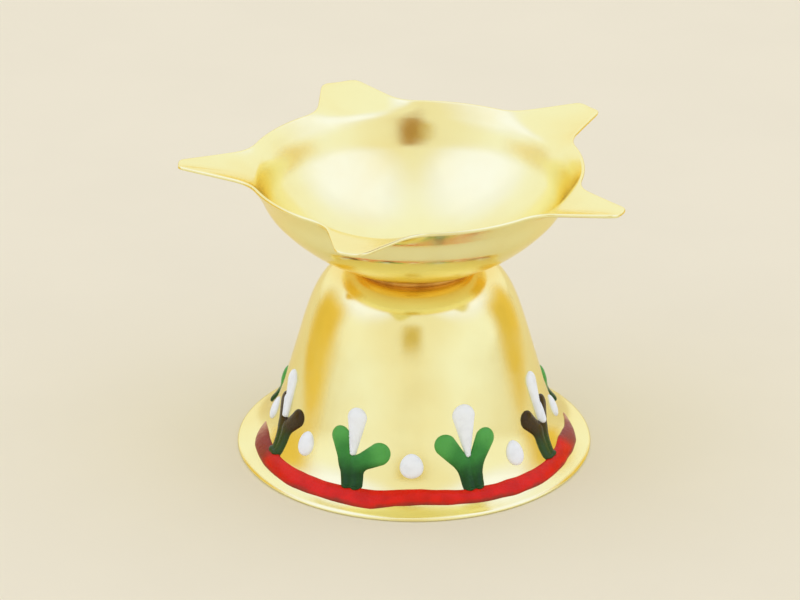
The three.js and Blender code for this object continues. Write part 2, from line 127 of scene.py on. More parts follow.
# Each sprig: degrees round from +X, its foot, the spread of its two strokes there, its
# fork, then the middle of each leaf's round end and its radius, the left one first
SPRIGS = (
    (-154.5, -1.2, 0.45, (-2.5, 9.5), (-5.5, 12.8, 1.55), (0.9, 12.3, 1.6)),
    (-116.8, 0.2, 0.8, (-0.7, 8.9), (-3.3, 12.9, 1.75), (3.8, 11.1, 1.95)),
    (-70.3, 0.2, 0.8, (0.3, 8.9), (-3.4, 12.6, 1.9), (3.6, 12.7, 1.8)),
    (-31.5, 0.4, 0.5, (1.7, 9.7), (-1.4, 12.4, 1.7), (4.9, 12.8, 1.55)),
    (20.0, 0.2, 0.8, (0.0, 8.9), (-3.7, 12.6, 1.8), (3.6, 12.0, 1.9)),
    (64.0, -0.2, 0.8, (0.1, 8.9), (-3.4, 12.1, 1.85), (4.0, 12.7, 1.75)),
    (110.0, 0.1, 0.8, (-0.1, 8.9), (-3.9, 12.8, 1.75), (3.3, 12.2, 1.9)),
    (155.0, 0.3, 0.8, (0.1, 8.9), (-3.6, 12.2, 1.9), (3.9, 12.5, 1.8)),
)
SIDE_SHADE_SPRIGS = (1, 4)  # two sprigs coloured dark brown instead of green, as painted shade
# Each petal, over the sprig of the same row: middle of the round end and its radius, then
# the point and its radius
PETALS = (
    (-4.4, 17.0, 1.8, -3.0, 11.3, 0.5),
    (-0.7, 16.5, 1.75, -0.6, 10.7, 0.5),
    (0.2, 17.1, 2.0, 0.2, 10.7, 0.5),
    (2.8, 17.7, 1.7, 2.5, 10.9, 0.7),
    (-0.2, 16.6, 1.8, 0.1, 10.7, 0.5),
    (0.2, 17.0, 1.75, 0.2, 10.6, 0.5),
    (0.1, 16.5, 1.85, -0.2, 10.7, 0.5),
    (-0.1, 16.9, 1.7, 0.1, 10.7, 0.5),
)
# Each drop: degrees round from +X, height up the sheet, width and height
DROPS = (
    (-142.5, 9.4, 3.5, 4.2),
    (-93.5, 9.5, 3.9, 4.1),
    (-47.8, 8.6, 3.6, 4.3),
    (-4.0, 9.3, 3.6, 4.0),
    (41.0, 9.5, 3.7, 4.1),
    (87.0, 9.1, 3.5, 3.9),
    (133.0, 9.4, 3.8, 4.2),
    (-179.0, 9.2, 3.6, 4.1),
)
# The band's two strokes, with the hand's wander: degrees, its middle and its width there
FRONT_STROKE = (
    (-180, 5.7, 0.4),
    (-178.5, 5.4, 1.2),
    (-176.5, 5.1, 2.0),
    (-173.5, 4.7, 2.8),
    (-169, 4.3, 3.1),
    (-162.5, 4.0, 3.2),
    (-152, 3.5, 3.0),
    (-141, 3.3, 3.2),
    (-126, 3.4, 3.1),
    (-107, 3.4, 3.4),
    (-99, 4.1, 3.0),
    (-90, 4.35, 2.8),
    (-74, 3.75, 2.6),
    (-54, 3.4, 3.0),
    (-43, 3.3, 3.0),
    (-32, 3.5, 2.8),
    (-24.5, 3.9, 3.0),
    (-17, 4.2, 3.4),
    (-10.5, 4.1, 3.0),
    (-5, 4.2, 2.0),
    (1, 4.6, 1.1),
    (6, 4.9, 0.4),
)
BACK_STROKE = (
    (36, 6.0, 0.4),
    (40, 5.5, 1.3),
    (45, 4.9, 2.3),
    (51, 4.3, 3.0),
    (60, 3.7, 3.1),
    (74, 3.4, 2.8),
    (88, 3.7, 3.2),
    (100, 3.4, 2.8),
    (112, 3.5, 3.1),
    (122, 3.8, 3.2),
    (129, 4.4, 2.8),
    (134, 5.2, 1.9),
    (137, 5.7, 1.0),
    (139, 6.0, 0.4),
)
TAIL = math.radians(30)  # length of a stroke's end, where the enamel runs thin, and where the band is darkened maroon as painted shade and reflection
BAND_STEP = math.radians(0.4)
BAND_SMOOTHING = 9  # steps over which its middle and width are evened out
BAND_RIPPLE = 0.08  # wander of its width, as a share
BAND_SHOULDER = 1.2  # half-width in millimetres from which it is fully thick
ENAMEL_SINK = 0.04 * MM  # how far each stroke reaches into the brass

# Stage: angles in degrees from the front towards +X and upwards, lengths in metres
SIDE_LIGHTS = ((-85, 55), (85, 55))
SIDE_LIGHT_DISTANCE = 0.55
SIDE_LIGHT_SIZE = 0.4
LIGHT_AIM = 30 * MM  # height that the lights point at
FLOOR_HALF = 2.5
FLOOR_DROP = 0.02 * MM
# Each card: its angle, distance, width, bottom, top and colour
CARDS = {
    "card_left": (-105, 0.1, 0.12, -0.06, 0.1, (0.98, 0.7, 0.12, 1.0)),
    "card_right": (107, 0.1, 0.11, -0.06, 0.1, (0.98, 0.7, 0.12, 1.0)),
    "card_front": (-5, 0.75, 0.4, 0.08, 0.66, (0.74, 0.54, 0.1, 1.0)),
    "card_lip": (2.2, 0.028, 0.02, 0.045, 0.112, (0.5, 0.26, 0.05, 1.0)),
}
CAMERA_AZIMUTH = -2.29
CAMERA_ELEVATION = math.degrees(0.44)
CAMERA_DISTANCE = 0.643
CAMERA_ASIDE = -2.396 * MM  # the point it looks at, beside the lamp's axis
CAMERA_HEIGHT = 25.97 * MM
LENS = 172.8  # in millimetres, and so is the sensor's width
SENSOR = 36


def colour_property(name, description, default, brightest=1.0):
    return FloatVectorProperty(
        name=name,
        description=description,
        subtype="COLOR",
        size=4,
        min=0.0,
        max=brightest,
        default=(*default, 1.0),
    )


def length_property(name, description, low, high, default):
    """A length between two others, all three in millimetres."""
    return FloatProperty(
        name=name,
        description=description,
        subtype="DISTANCE",
        unit="LENGTH",
        min=low * MM,
        max=high * MM,
        default=default * MM,
        precision=5,
    )


class DiyaBrass(PropertyGroup):
    """Finish of the pressed and spun brass"""

    pale: colour_property("Pale Brass", "Colour of the clean sheet", (0.95, 0.915, 0.51))
    deep: colour_property("Deep Brass", "Colour under thicker lacquer", (0.93, 0.82, 0.36))
    # Painted shade and reflection of the gap between bowl and stand, a deeper orange.
    joint: colour_property(
        "Joint",
        "Colour of the lacquer gathered in the joint between bowl and stand",
        (0.96, 0.78, 0.31),
    )
    polish: FloatProperty(
        name="Polish",
        description="Roughness of the outside of the sheet",
        subtype="FACTOR",
        min=0.0,
        max=1.0,
        default=0.16,
    )


class DiyaSheet(PropertyGroup):
    """Thickness and unevenness of the sheet"""

    bowl: length_property("Bowl Sheet", "Thickness of the bowl", 0.2, 2, 0.6)
    stand: length_property("Stand Sheet", "Thickness of the stand", 0.2, 2, 0.7)
    unevenness: length_property(
        "Unevenness", "How far the hand-finished sheet wanders from its true form", 0.0, 0.3, 0.03
    )
    columns: IntProperty(
        name="Columns",
        description="Points round the edge of the bowl",
        min=120,
        max=1200,
        default=560,
    )


class DiyaEnamel(PropertyGroup):
    """Colours and thickness of the enamel strokes"""

    red: colour_property("Red", "Colour of the band", (0.78, 0.016, 0.005))
    # Band Tail: painted shade and reflection, used near the ends of the strokes and along the
    # band's lower edge.
    tail: colour_property(
        "Band Tail", "Colour of the band near the ends of its strokes", (0.30, 0.04, 0.022)
    )
    wash: colour_property(
        "Band Wash",
        "Colour of the very ends of the strokes, a thin wash over the brass",
        (0.62, 0.32, 0.17),
    )
    green: colour_property("Green", "Colour of the leaves", (0.045, 0.26, 0.045))
    leaf_end: colour_property(
        "Leaf End",
        "Colour of the round ends of the leaves, where the green is thin",
        (0.095, 0.40, 0.08),
    )
    # Painted shade: the two dark colours below stand in for green on two of the sprigs.
    side_shade: colour_property("Burnt", "Colour of leaves fired too long", (0.05, 0.03, 0.01))
    side_shade_stem: colour_property(
        "Burnt Stem", "Colour of the stems under burnt leaves", (0.035, 0.08, 0.02)
    )
    stem: colour_property(
        "Stem", "Colour of the stems, where the green lies thickest", (0.012, 0.065, 0.014)
    )
    white: colour_property("White", "Colour of the petals and drops", (0.92, 0.97, 1.0))
    thickness: length_property("Thickness", "Height of a stroke at its middle", 0.1, 1.5, 0.62)
    grain: length_property(
        "Grain", "Spacing of the points that the strokes are made of", 0.05, 0.5, 0.13
    )


class DiyaStage(PropertyGroup):
    """Floor, light and camera"""

    paper: colour_property("Paper", "Colour of the floor", (0.87, 0.805, 0.578))
    softbox: FloatProperty(
        name="Softbox Level",
        description="Brightness of the two side lights, where 1 is white",
        min=0.0,
        max=10.0,
        default=0.06,
    )
    glow: colour_property(
        "Glow", "Colour of the surround behind each side light", (1.0, 1.04, 1.5), brightest=3.0
    )
    shade: colour_property(
        "Shade", "Colour of the surround ahead of the lamp", (0.94, 0.88, 0.74), brightest=3.0
    )
    sky: FloatProperty(
        name="Surround Level",
        description="Brightness of the surround",
        min=0.0,
        max=3.0,
        default=0.97,
    )


# Curves and meshes


def bezier(points, steps):
    """Points of a Bezier curve of any degree, ends included."""
    share = np.linspace(0, 1, steps + 1)[:, None]
    points = [np.asarray(point, float)[None, :] for point in points]
    while len(points) > 1:
        points = [a * (1 - share) + b * share for a, b in zip(points, points[1:])]
    return points[0]


def unit(vector):
    vector = np.asarray(vector, float)
    return vector / np.linalg.norm(vector)


def ease(start, leaving, end, arriving, steps, share=1 / 3):
    """Points of a curve that leaves start and reaches end along the given directions."""
    start, end = np.asarray(start, float), np.asarray(end, float)
    handle = np.linalg.norm(end - start) * share
    return bezier((start, start + handle * leaving, end - handle * arriving, end), steps)


def polar(radius, angle):
    return np.stack([radius * np.cos(angle), radius * np.sin(angle)], -1)


def piece(name, vertices, faces, materials, nodes, face_materials=None):
    """A smooth-shaded object that rides on the lamp and stands for the given nodes."""
    mesh = bpy.data.meshes.new(name)
    mesh.from_pydata(np.asarray(vertices).tolist(), [], faces)
    for material in materials:
        mesh.materials.append(material)
    if face_materials is not None:
        mesh.polygons.foreach_set("material_index", face_materials)
    mesh.polygons.foreach_set("use_smooth", [True] * len(mesh.polygons))
    mesh.update()
    made = bpy.data.objects.new(name, mesh)
    bpy.context.scene.collection.objects.link(made)
    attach(made, "root")
    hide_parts(*nodes)
    return made


def paint(made, name, values):
    """Stores one number for each vertex, which the piece's material reads by its name."""
    values = np.ones(len(made.data.vertices), np.float32) * np.asarray(values, np.float32)
    made.data.attributes.new(name, "FLOAT", "POINT").data.foreach_set("value", values)


def loft_faces(rings, size, closed):
    """Quads between rings of points, which turn anticlockwise seen from the side they face."""
    faces = []
    for ring in range(rings if closed else rings - 1):
        here = ring * size
        there = (ring + 1) % rings * size
        for i in range(size):
            after = (i + 1) % size
            faces.append((here + i, there + i, there + after, here + after))
    return faces


def capped(rings, start, end):
    """Vertices and faces of open rings, closed by a fan round a point at either end."""
    count, size = rings.shape[:2]
    vertices = np.vstack([rings.reshape(-1, 3), [start, end]])
    faces = loft_faces(count, size, closed=False)
    last = (count - 1) * size
    for i in range(size):
        after = (i + 1) % size
        faces.append((count * size, i, after))
        faces.append((count * size + 1, last + after, last + i))
    return vertices, faces


def about_axis(radius, angle, height):
    """Points at a distance and an angle from the lamp's axis."""
    x = AXIS[0] + radius * np.cos(angle)
    y = AXIS[1] + radius * np.sin(angle)
    return np.stack(np.broadcast_arrays(x, y, height), -1)


def full_turn(segments):
    return np.arange(segments) * TAU / segments


def turned(profile, segments):
    """Vertices and faces of a closed (radius, height) profile turned about the lamp's axis."""
    radius, height = profile[:, 0][:, None], profile[:, 1][:, None]
    vertices = about_axis(radius, full_turn(segments), height).reshape(-1, 3)
    return vertices, loft_faces(len(profile), segments, closed=True)


def uneven(points, scale, seed):
    """Slow noise at each point, from -1 to 1."""
    offset = Vector((seed, 2.3 * seed, -1.7 * seed))
    return np.array([noise.noise(Vector(point) / scale + offset) for point in points])


# Bell of the stand


def bell_curve():
    upward = unit(np.subtract(SHOULDER, WAIST))
    brim = (FOOT_RADIUS, BRIM_EDGE)
    up_brim = np.array([-math.cos(BRIM_SLOPE), math.sin(BRIM_SLOPE)])
    crown = (CROWN_RADIUS, STAND_TOP)
    flare = ease(brim, up_brim, WAIST, upward, 80, FLARE_FULLNESS)
    cone = bezier((WAIST, SHOULDER), 30)
    top = ease(SHOULDER, upward, crown, np.array([-1.0, 0.0]), 80, SHOULDER_FULLNESS)
    return np.vstack([flare, cone[1:], top[1:]])


bell = bell_curve()
bell_run = np.concatenate([[0], np.cumsum(np.linalg.norm(np.diff(bell, axis=0), axis=1))])
bell_way = np.gradient(bell, axis=0)
bell_way /= np.linalg.norm(bell_way, axis=1)[:, None]


def on_bell(angle, across, slant, lift):
    """Points on the bell: sideways of an angle, up along the sheet, and out of it."""
    radius = np.interp(slant, bell_run, bell[:, 0])
    height = np.interp(slant, bell_run, bell[:, 1])
    way_r = np.interp(slant, bell_run, bell_way[:, 0])
    way_z = np.interp(slant, bell_run, bell_way[:, 1])
    return about_axis(radius + way_z * lift, angle + across / radius, height - way_r * lift)


def stand_profile(sheet):
    """Closed section of the stand: up the outside, over the crown and down the inside."""
    inward = np.stack([-bell_way[:, 1], bell_way[:, 0]], -1)
    inner = bell + inward * sheet
    inner = inner[inner[:, 0] < FOOT_RADIUS - FOOT_LAND]
    soft = EDGE_SOFTNESS
    foot_out = bezier(
        ((FOOT_RADIUS - soft, 0), (FOOT_RADIUS, 0), (FOOT_RADIUS, soft)), 4
    )
    brim = bezier(((FOOT_RADIUS, soft), (FOOT_RADIUS, BRIM_EDGE), bell[3]), 4)
    hole = bezier(
        (
            (CROWN_HOLE + soft, STAND_TOP),
            (CROWN_HOLE, STAND_TOP),
            (CROWN_HOLE, STAND_TOP - sheet),
            (CROWN_HOLE + soft, STAND_TOP - sheet),
        ),
        6,
    )
    land = bezier(
        (inner[0], (FOOT_RADIUS - FOOT_LAND, 0), (FOOT_RADIUS - FOOT_LAND + soft, 0)), 4
    )
    crown = bezier(((CROWN_RADIUS, STAND_TOP), (CROWN_HOLE + soft, STAND_TOP)), 6)
    under = bezier(((CROWN_HOLE + soft, STAND_TOP - sheet), (CROWN_RADIUS, STAND_TOP - sheet)), 6)
    outside = np.vstack([foot_out, brim[1:], bell[4:], crown[1:]])
    inside = np.vstack([hole[1:], under[1:], inner[::-1][1:], land[1:]])
    return np.vstack([outside, inside]), len(outside)


# Bowl


def beak_half(beak, halfway):
    """Half of a beak's outline from the middle of its tip to halfway to the next beak."""
    reach, tip_width, root_width = (size * MM for size in beak[1:])
    root_angle = math.asin(root_width / 2 / RIM_RADIUS)
    root = polar(RIM_RADIUS, root_angle)
    tip = np.array([reach, tip_width / 2])
    rounding = tip_width * BEAK_TIP_ROUNDING
    side = unit(root - tip)
    tip_end = tip + side * rounding
    fillet_start = root - side * BEAK_ROOT_FILLET
    rim_start = root_angle + BEAK_ROOT_FILLET / RIM_RADIUS
    return np.vstack(
        [
            bezier(((reach, 0), (reach, tip[1] - rounding)), 6),
            bezier(((reach, tip[1] - rounding), tip, tip_end), 12)[1:],
            bezier((tip_end, fillet_start), 24)[1:],
            bezier((fillet_start, root, polar(RIM_RADIUS, rim_start)), 20)[1:],
            polar(RIM_RADIUS, np.linspace(rim_start, halfway, 30))[1:],
        ]
    )


def bowl_outline(columns, inset):
    """Points of the bowl's edge with even steps, anticlockwise: plan and height."""
    plan, height = [], []
    for index, beak in enumerate(BEAKS):
        angle = math.radians(beak[0])
        before = math.radians(BEAKS[index - 1][0])
        after = math.radians(BEAKS[(index + 1) % len(BEAKS)][0])
        left = beak_half(beak, (after - angle) % TAU / 2)
        right = beak_half(beak, (angle - before) % TAU / 2)[1:-1][::-1] * (1, -1)
        outline = np.vstack([right, left])
        reach = np.linalg.norm(outline, axis=1)
        share = np.clip((reach - RIM_RADIUS) / (beak[1] * MM - RIM_RADIUS), 0, None)
        across = np.clip(np.abs(outline[:, 1]) / (beak[2] * MM / 2), 0, 1)
        height.append(BOWL_HEIGHT + share * (BEAK_RISE - BEAK_TIP_DIP * (1 - across**2)))
        plan.append(polar(reach, angle + np.arctan2(outline[:, 1], outline[:, 0])))
    plan, height = np.vstack(plan), np.concatenate(height)
    plan = np.vstack([plan, plan[:1]])
    height = np.append(height, height[0])
    run = np.concatenate([[0], np.cumsum(np.linalg.norm(np.diff(plan, axis=0), axis=1))])
    even = np.arange(columns) * run[-1] / columns
    plan = np.stack([np.interp(even, run, plan[:, axis]) for axis in (0, 1)], -1)
    height = np.interp(even, run, height)
    along = np.roll(plan, -1, 0) - np.roll(plan, 1, 0)
    along /= np.linalg.norm(along, axis=1)[:, None]
    outward = np.stack([along[:, 1], -along[:, 0]], -1)
    return plan - outward * inset, height


def bowl_wall(sheet):
    """Inner face of the floor and wall up to the lip: rings of (radius, height)."""
    centre = sheet + math.sqrt(WALL_ARC_RADIUS**2 - FLOOR_RADIUS**2)

    def arc(radius):
        return np.stack([radius, centre - np.sqrt(WALL_ARC_RADIUS**2 - radius**2)], -1)

    flat = np.linspace(0.4 * MM, 6.2 * MM, 7)
    floor = np.stack([flat, np.full_like(flat, sheet)], -1)
    round_start = 10 * MM
    cove = bezier((floor[-1], (FLOOR_RADIUS, sheet), arc(np.array(round_start))), 8)
    wall = arc(np.linspace(round_start, RIM_RADIUS - WALL_ARC_INSET, 18))
    slope = unit(wall[-1] - wall[-2])
    upper = ease(wall[-1], slope, WALL_TOP, unit(np.subtract(FOLD, WALL_TOP)), 8)
    return np.vstack([floor, cove[1:], wall[1:], upper[1:]])


def bowl_mesh(sheet, unevenness, columns):
    """Vertices and faces of the bowl: wall and lip inside, a round edge, and the underside."""
    plan, height = bowl_outline(columns, sheet / 2)
    angle = np.arctan2(plan[:, 1], plan[:, 0])
    reach = np.hypot(plan[:, 0], plan[:, 1])
    wall = bowl_wall(sheet)
    wall_top, fold = np.array(WALL_TOP), np.array(FOLD)
    end = np.stack([reach, height], -1)
    share = np.linspace(0, 1, 21)[1:, None, None]
    first = wall_top * 0.2 + fold * 0.8
    second = end * 0.05 + fold * 0.95
    lip = (
        (1 - share) ** 3 * wall_top
        + 3 * share * (1 - share) ** 2 * first
        + 3 * share**2 * (1 - share) * second
        + share**3 * end
    )
    rings = np.concatenate([np.repeat(wall[:, None, :], columns, 1), lip])
    inside = about_axis(rings[..., 0], angle, BOWL_BOTTOM + rings[..., 1])
    out = np.gradient(inside, axis=0)
    along = np.roll(inside, -1, 1) - np.roll(inside, 1, 1)
    normal = np.cross(out, along)
    normal /= np.linalg.norm(normal, axis=2)[..., None]
    normal[:6] = (0, 0, 1)
    flat_share = np.clip(rings[..., 0] / FLOOR_RADIUS - 1, 0, 1)
    wave = uneven(inside.reshape(-1, 3), 9 * MM, 3).reshape(inside.shape[:2])
    inside += normal * (wave * unevenness * flat_share)[..., None]
    edge_along = along[-1] / np.linalg.norm(along[-1], axis=1)[:, None]
    edge_out = np.cross(edge_along, normal[-1])
    middle = inside[-1] - normal[-1] * sheet / 2
    bead = [
        middle + (normal[-1] * math.cos(turn) + edge_out * math.sin(turn)) * sheet / 2
        for turn in np.linspace(0, math.pi, 7)[1:-1]
    ]
    underside = (inside - normal * sheet)[::-1]
    rings = np.concatenate([inside, np.array(bead), underside])
    return capped(rings, (*AXIS, BOWL_BOTTOM + sheet), (*AXIS, BOWL_BOTTOM))


# Enamel strokes


def capsule(x, y, start, end, start_radius, end_radius):
    """Depth inside a tapered stroke, negative outside."""
    run = np.subtract(end, start)
    share = ((x - start[0]) * run[0] + (y - start[1]) * run[1]) / (run @ run)
    share = np.clip(share, 0, 1)
    away = np.hypot(x - start[0] - share * run[0], y - start[1] - share * run[1])
    return start_radius + (end_radius - start_radius) * share - away


def merged(a, b, softness):
    """The deeper of two depths, run together softly where they are alike."""
    mix = np.clip(0.5 + 0.5 * (a - b) / softness, 0, 1)
    return b + (a - b) * mix + softness * mix * (1 - mix)


def crown_of(depth, reach, thickness):
    """Height of a stroke whose section is round, from the depth inside its outline."""
    share = np.clip(depth / reach, 0, 1)
    return thickness * np.sqrt(1 - (1 - share) ** 2)


def sprig_depth(index, x, y):
    """Depth inside a sprig, in millimetres: two strokes that run side by side in the stem."""
    _, foot, spread, fork, *leaves = SPRIGS[index]
    strokes = []
    for side, (leaf_x, leaf_y, leaf_radius) in zip((-1, 1), leaves):
        bend = (fork[0] + side * FORK_SPREAD, fork[1])
        base = (foot + side * spread, SPRIG_BASE)
        upper = capsule(x, y, bend, (leaf_x, leaf_y), LEAF_ROOT_RADIUS, leaf_radius)
        lower = capsule(x, y, base, bend, STEM_RADIUS, FORK_RADIUS)
        strokes.append(merged(upper, lower, 0.8))
    return merged(strokes[0], strokes[1], 0.3)


def petal_depth(index, x, y):
    """Depth inside a petal, in millimetres."""
    end_x, end_y, end_radius, point_x, point_y, point_radius = PETALS[index]
    return capsule(x, y, (point_x, point_y), (end_x, end_y), point_radius, end_radius)


def band_at(rows, angle):
    """Middle and half-width of a stroke of the band at an angle, in millimetres."""
    stations = np.array(rows, float)
    first, last = np.radians(stations[[0, -1], 0])
    angle = (angle - first + TAU / 4) % TAU - TAU / 4 + first
    middle = np.interp(angle, np.radians(stations[:, 0]), stations[:, 1])
    width = np.interp(angle, np.radians(stations[:, 0]), stations[:, 2])
    return middle, np.where((angle < first) | (angle > last), 0.0, width / 2)


def band_height(angle, slant, thickness):
    """Height of the band over the brass, which the sprigs' stems run on to."""
    heights = []
    for rows in (FRONT_STROKE, BACK_STROKE):
        middle, half = band_at(rows, angle)
        depth = half - np.abs(slant - middle)
        heights.append(crown_of(depth, np.maximum(half, 0.01), thickness))
    return np.maximum(*heights)


def stroke_mesh(angle, depth_of, lift_of, box, step):
    """A closed body over the part of a grid on the bell where depth_of is positive.

    box and step are in millimetres on the sheet. lift_of gives the height of the top face.
    The last of the three results is where each vertex lies on the sheet.
    """
    xs = np.arange(box[0], box[1] + step, step)
    ys = np.arange(box[2], box[3] + step, step)
    grid_x, grid_y = np.meshgrid(xs, ys, indexing="ij")
    depth = depth_of(grid_x, grid_y)
    places, known = [], {}

    def corner(i, j):
        key = (i, j)
        if key not in known:
            known[key] = len(places)
            places.append((xs[i], ys[j], False))
        return known[key]

    def crossing(a, b):
        key = (min(a, b), max(a, b))
        if key not in known:
            known[key] = len(places)
            share = depth[a] / (depth[a] - depth[b])
            x = xs[a[0]] + (xs[b[0]] - xs[a[0]]) * share
            y = ys[a[1]] + (ys[b[1]] - ys[a[1]]) * share
            places.append((x, y, True))
        return known[key]

    polygons = []
    inside = depth > 0
    for i, j in np.argwhere(
        inside[:-1, :-1] | inside[1:, :-1] | inside[:-1, 1:] | inside[1:, 1:]
    ):
        corners = [(i, j), (i + 1, j), (i + 1, j + 1), (i, j + 1)]
        polygon = []
        for a, b in zip(corners, corners[1:] + corners[:1]):
            if inside[a]:
                polygon.append(corner(*a))
            if inside[a] != inside[b]:
                polygon.append(crossing(a, b))
        polygons.append(polygon)
    x, y, edge = (np.array(column) for column in zip(*places))
    top_lift = np.where(edge, 0, lift_of(x, y))
    top = on_bell(angle, x * MM, y * MM, top_lift * MM)
    bottom = on_bell(angle, x * MM, y * MM, np.full_like(x, -ENAMEL_SINK))
    count = len(places)
    faces = list(polygons)
    faces += [[count + vertex for vertex in reversed(polygon)] for polygon in polygons]
    sides = set()
    for polygon in polygons:
        for a, b in zip(polygon, polygon[1:] + polygon[:1]):
            if (b, a) in sides:
                sides.remove((b, a))
            else:
                sides.add((a, b))
    faces += [(b, a, count + a, count + b) for a, b in sorted(sides)]
    plan = np.tile(np.stack([x, y], -1), (2, 1))
    return np.vstack([top, bottom]), faces, plan


# Materials


def darker(colour, share):
    return (*(channel * share for channel in colour[:3]), 1.0)


class Shader:
    """A material with a Principled shader, and a short way to wire nodes to it."""

    def __init__(self, name, **constants):
        self.material = bpy.data.materials.new(name)
        self.material.use_nodes = True
        self.nodes = self.material.node_tree.nodes
        self.links = self.material.node_tree.links
        self.surface = self.nodes["Principled BSDF"]
        for socket, value in constants.items():
            self.surface.inputs[socket.replace("_", " ")].default_value = value
        self.place = self.add("ShaderNodeTexCoord").outputs["Object"]

    def add(self, kind, inputs=None, **settings):
        node = self.nodes.new(kind)
        for key, value in settings.items():
            setattr(node, key, value)
        for socket, value in (inputs or {}).items():
            if isinstance(value, bpy.types.NodeSocket):
                self.links.new(value, node.inputs[socket])
            else:
                node.inputs[socket].default_value = value
        return node

    def noise(self, size, detail=2.0, stretch=(1, 1, 1)):
        """Noise from 0 to 1 with features of the given size."""
        mapping = self.add("ShaderNodeMapping", {"Vector": self.place, "Scale": stretch})
        texture = self.add(
            "ShaderNodeTexNoise",
            {"Vector": mapping.outputs["Vector"], "Scale": 1 / size, "Detail": detail},
        )
        return texture.outputs["Fac"]

    def ramp(self, value, low, high, to_low=0.0, to_high=1.0):
        node = self.add(
            "ShaderNodeMapRange",
            {
                "Value": value,
                "From Min": low,
                "From Max": high,
                "To Min": to_low,
                "To Max": to_high,
            },
            interpolation_type="SMOOTHSTEP",
        )
        return node.outputs["Result"]

    def blend(self, factor, first, second):
        node = self.add(
            "ShaderNodeMix",
            {"Factor": factor, "A": first, "B": second},
            data_type="RGBA",
        )
        return node.outputs["Result"]

    def math(self, operation, *values):
        node = self.add("ShaderNodeMath", operation=operation)
        for socket, value in zip(node.inputs, values):
            if isinstance(value, bpy.types.NodeSocket):
                self.links.new(value, socket)
            else:
                socket.default_value = value
        return node.outputs["Value"]

    def height_up(self):
        """Height above the foot, in metres."""
        node = self.add("ShaderNodeSeparateXYZ", {"Vector": self.place})
        return node.outputs["Z"]

    def painted(self, name):
        """The numbers that paint stored on the piece under that name."""
        return self.add("ShaderNodeAttribute", attribute_name=name).outputs["Fac"]

    def facing_up(self):
        """1 where the surface faces straight up, -1 where it faces down."""
        normal = self.add("ShaderNodeNewGeometry").outputs["True Normal"]
        return self.add("ShaderNodeSeparateXYZ", {"Vector": normal}).outputs["Z"]

    def bump(self, heights, distance):
        """Runs the sum of height outputs into the normal, distance in metres."""
        total = heights[0]
        for height in heights[1:]:
            total = self.math("ADD", total, height)
        node = self.add("ShaderNodeBump", {"Height": total, "Strength": 1.0, "Distance": distance})
        self.feed("Normal", node.outputs["Normal"])

    def feed(self, socket, value):
        self.links.new(value, self.surface.inputs[socket])


def polished_brass(colours):
    """Lacquered brass sheet: clean, very pale, with faint polishing marks.

    Near the seam between the bowl and the stand it turns a deeper orange: painted shade and
    reflection of the narrow gap there.
    """
    shader = Shader("polished_brass", Metallic=1.0, Specular_Tint=(1.0, 0.9, 0.65, 1.0))
    cloud = shader.noise(14 * MM, 3.0)
    clean = shader.blend(shader.ramp(cloud, 0.35, 0.75, 0.0, 0.5), colours.pale, colours.deep)
    # Painted shade and reflection: a deeper orange near the seam, on the bowl's underside and on
    # the stand's top.
    height = shader.height_up()
    from_joint = shader.math("ABSOLUTE", shader.math("SUBTRACT", height, STAND_TOP))
    near = shader.ramp(from_joint, 3.0 * MM, 0.2 * MM)
    downward = shader.ramp(shader.facing_up(), 0.35, 0.0)
    on_stand = shader.math("LESS_THAN", height, STAND_TOP + 0.02 * MM)
    joint = shader.math("MULTIPLY", near, shader.math("MAXIMUM", downward, on_stand))
    shader.feed("Base Color", shader.blend(joint, clean, colours.joint))
    smear = shader.noise(6 * MM, 4.0)
    shader.feed(
        "Roughness",
        shader.ramp(smear, 0.3, 0.75, colours.polish * 0.8, colours.polish * 1.6),
    )
    marks = shader.noise(0.5 * MM, 2.0, (1, 1, 9))
    shader.bump([marks], 0.002 * MM)
    return shader.material


def gap_shade_finish():
    """Dark amber finish of the ring in the joint, over the brass: painted shade and reflection of
    the gap.
    """
    shader = Shader("gap_shade_finish", Metallic=0.85)
    cloud = shader.ramp(shader.noise(3 * MM, 3.0), 0.3, 0.7)
    # Painted shade: both colours of the ring stand in for the dark gap under the bowl.
    light, dark = (0.82, 0.47, 0.12, 1.0), (0.68, 0.35, 0.07, 1.0)
    shader.feed("Base Color", shader.blend(cloud, light, dark))
    shader.feed("Roughness", shader.ramp(cloud, 0.0, 1.0, 0.45, 0.6))
    return shader.material


def raw_brass():
    """Inside of the stand, never polished: dull, with drawing lines and tarnish."""
    shader = Shader("raw_brass", Metallic=1.0)
    tarnish = shader.noise(5 * MM, 5.0)
    shader.feed(
        "Base Color",
        shader.blend(
            shader.ramp(tarnish, 0.35, 0.7), (0.62, 0.44, 0.17, 1.0), (0.36, 0.22, 0.08, 1.0)
        ),
    )
    shader.feed("Roughness", shader.ramp(tarnish, 0.3, 0.7, 0.34, 0.55))
    lines = shader.noise(0.9 * MM, 3.0, (1, 1, 14))
    shader.bump([lines], 0.012 * MM)
    return shader.material


def turned_brass():
    """Stud, nut and washer, as they come from the lathe."""
    shader = Shader("turned_brass", Metallic=1.0)
    cloud = shader.noise(2 * MM, 4.0)
    shader.feed(
        "Base Color",
        shader.blend(shader.ramp(cloud, 0.3, 0.7), (0.78, 0.6, 0.26, 1.0), (0.6, 0.42, 0.16, 1.0)),
    )
    shader.feed("Roughness", shader.ramp(cloud, 0.3, 0.7, 0.24, 0.42))
    lines = shader.noise(0.25 * MM, 2.0, (1, 1, 4))
    shader.bump([lines], 0.006 * MM)
    return shader.material


def enamel(name, build_colour, roughness=(0.2, 0.34)):
    """Glossy enamel with a soft brushed surface."""
    shader = Shader(
        name, Metallic=0.0, Specular_IOR_Level=0.12, Coat_Weight=0.12, Coat_Roughness=0.1
    )
    shader.feed("Base Color", build_colour(shader))
    shader.feed("Roughness", shader.ramp(shader.noise(1.2 * MM, 2.0), 0.3, 0.7, *roughness))
    shader.bump([shader.noise(1.1 * MM, 2.0), shader.noise(0.35 * MM, 2.0)], 0.03 * MM)
    return shader.material


